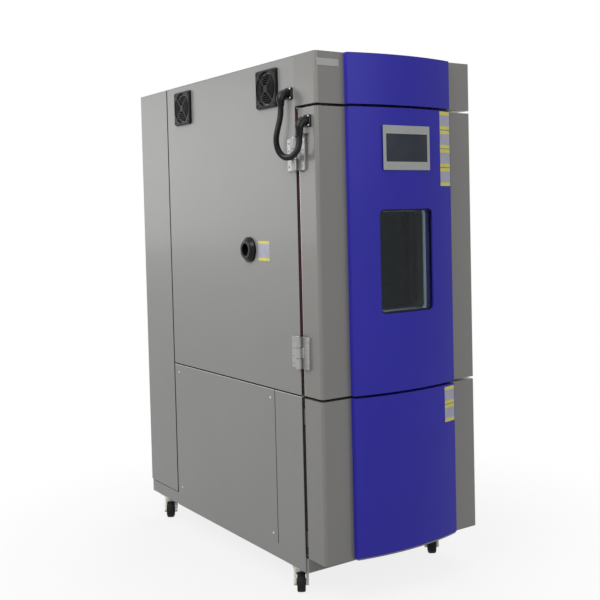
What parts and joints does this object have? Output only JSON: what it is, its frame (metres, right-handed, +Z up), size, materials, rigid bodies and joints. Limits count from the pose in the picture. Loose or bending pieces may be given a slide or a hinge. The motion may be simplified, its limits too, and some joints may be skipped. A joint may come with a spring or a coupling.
{
  "type": "environmental test chamber",
  "caption": "Floor-standing environmental test chamber on casters with a bowed front, windowed door, controller and side vents.",
  "frame": {"origin": "on the floor under the middle of the cabinet", "axes": "front faces -Y, hinge side is -X, +Z up"},
  "size_m": [0.829, 1.536, 2.018],
  "materials": {
    "side_grey": "satin",
    "front_grey": "satin",
    "cover_blue": "gloss",
    "frame_paint": "satin",
    "stainless": "satin",
    "zinc": "polished",
    "aluminium": "satin",
    "bezel_silver": "satin",
    "glass": "gloss",
    "display_glass": "gloss",
    "seal_rubber": "matte",
    "hose_plastic": "matte",
    "port_plastic": "matte",
    "fan_plastic": "matte",
    "wheel_rubber": "matte",
    "foam": "matte",
    "compressor_black": "satin",
    "motor_paint": "satin"
  },
  "bodies": {
    "cabinet": {"base_frame": "frame_paint", "cabinet_frame": "frame_paint", "side_panels": "side_grey", "rear_columns": "side_grey", "rear_panel": "side_grey", "roof_panel": "side_grey", "head_shell": "front_grey", "head_fascia": "cover_blue", "lower_front_shell": "front_grey", "lower_front_fascia": "cover_blue", "mouth_frame": "stainless", "insulation": "foam", "chamber_liner": "stainless", "cable_port": "port_plastic", "cabinet_hinges": "zinc", "latch_keeper": "zinc", "caster_plates": "zinc", "cabinet_elbow": "hose_plastic", "hose": "hose_plastic", "vent_fan_frames": "fan_plastic", "vent_fan_guards": "fan_plastic", "duct_baffle": "stainless", "blower_motor": "motor_paint", "evaporator": "aluminium", "heater": "stainless", "shelf_racks": "stainless", "shelves": "stainless", "compressors": "compressor_black", "condenser": "aluminium", "condenser_shroud": "frame_paint", "control_gear": "frame_paint"},
    "door": {"door_shell": "front_grey", "door_core": "foam", "door_inner_pan": "stainless", "window_sleeve": "aluminium", "window_panes": "glass", "door_fascia": "cover_blue", "controller_bezel": "bezel_silver", "controller_display": "display_glass", "door_seal": "seal_rubber", "door_hinge_leaves": "zinc", "latch_body": "zinc", "door_elbow": "hose_plastic"},
    "latch_lever": {"latch_lever": "zinc"},
    "front_vent_rotor": {"front_vent_rotor": "fan_plastic"},
    "rear_vent_rotor": {"rear_vent_rotor": "fan_plastic"},
    "blower_wheel": {"blower_wheel": "aluminium"},
    "condenser_rotor": {"condenser_rotor": "fan_plastic"},
    "front_left_caster": {"front_left_caster_fork": "zinc"},
    "front_left_wheel": {"front_left_caster_wheel": "wheel_rubber"},
    "front_right_caster": {"front_right_caster_fork": "zinc"},
    "front_right_wheel": {"front_right_caster_wheel": "wheel_rubber"},
    "rear_left_caster": {"rear_left_caster_fork": "zinc"},
    "rear_left_wheel": {"rear_left_caster_wheel": "wheel_rubber"},
    "rear_right_caster": {"rear_right_caster_fork": "zinc"},
    "rear_right_wheel": {"rear_right_caster_wheel": "wheel_rubber"}
  },
  "joints": [
    {"name": "door_hinge", "type": "hinge", "parent": "cabinet", "child": "door", "pos_m": [-0.393, -0.5945, 1.296], "axis": [0, 0, -1], "range_deg": [0, 105], "deforming": ["hose"]},
    {"name": "latch_lever_pivot", "type": "hinge", "parent": "door", "child": "latch_lever", "pos_m": [0.385, -0.6475, 1.294], "axis": [1, 0, 0], "range_deg": [0, 60]},
    {"name": "front_vent_spin", "type": "hinge", "parent": "cabinet", "child": "front_vent_rotor", "pos_m": [-0.355, -0.3975, 1.918], "axis": [1, 0, 0], "continuous": true},
    {"name": "rear_vent_spin", "type": "hinge", "parent": "cabinet", "child": "rear_vent_rotor", "pos_m": [-0.355, 0.3075, 1.918], "axis": [1, 0, 0], "continuous": true},
    {"name": "blower_spin", "type": "hinge", "parent": "cabinet", "child": "blower_wheel", "pos_m": [0, 0.0515, 1.404], "axis": [0, 1, 0], "continuous": true},
    {"name": "condenser_fan_spin", "type": "hinge", "parent": "cabinet", "child": "condenser_rotor", "pos_m": [0, 0.5955, 0.372], "axis": [0, 1, 0], "continuous": true},
    {"name": "front_left_swivel", "type": "hinge", "parent": "cabinet", "child": "front_left_caster", "pos_m": [-0.33, -0.4795, 0.091], "axis": [0, 0, 1], "continuous": true},
    {"name": "front_left_roll", "type": "hinge", "parent": "front_left_caster", "child": "front_left_wheel", "pos_m": [-0.34901, -0.50769, 0.0375], "axis": [0.829, -0.5592, 0], "continuous": true},
    {"name": "front_right_swivel", "type": "hinge", "parent": "cabinet", "child": "front_right_caster", "pos_m": [0.33, -0.4795, 0.091], "axis": [0, 0, 1], "continuous": true},
    {"name": "front_right_roll", "type": "hinge", "parent": "front_right_caster", "child": "front_right_wheel", "pos_m": [0.31099, -0.50769, 0.0375], "axis": [0.829, -0.5592, 0], "continuous": true},
    {"name": "rear_left_swivel", "type": "hinge", "parent": "cabinet", "child": "rear_left_caster", "pos_m": [-0.33, 0.6435, 0.091], "axis": [0, 0, 1], "continuous": true},
    {"name": "rear_left_roll", "type": "hinge", "parent": "rear_left_caster", "child": "rear_left_wheel", "pos_m": [-0.34901, 0.61531, 0.0375], "axis": [0.829, -0.5592, 0], "continuous": true},
    {"name": "rear_right_swivel", "type": "hinge", "parent": "cabinet", "child": "rear_right_caster", "pos_m": [0.33, 0.6435, 0.091], "axis": [0, 0, 1], "continuous": true},
    {"name": "rear_right_roll", "type": "hinge", "parent": "rear_right_caster", "child": "rear_right_wheel", "pos_m": [0.31099, 0.61531, 0.0375], "axis": [0.829, -0.5592, 0], "continuous": true}
  ]
}
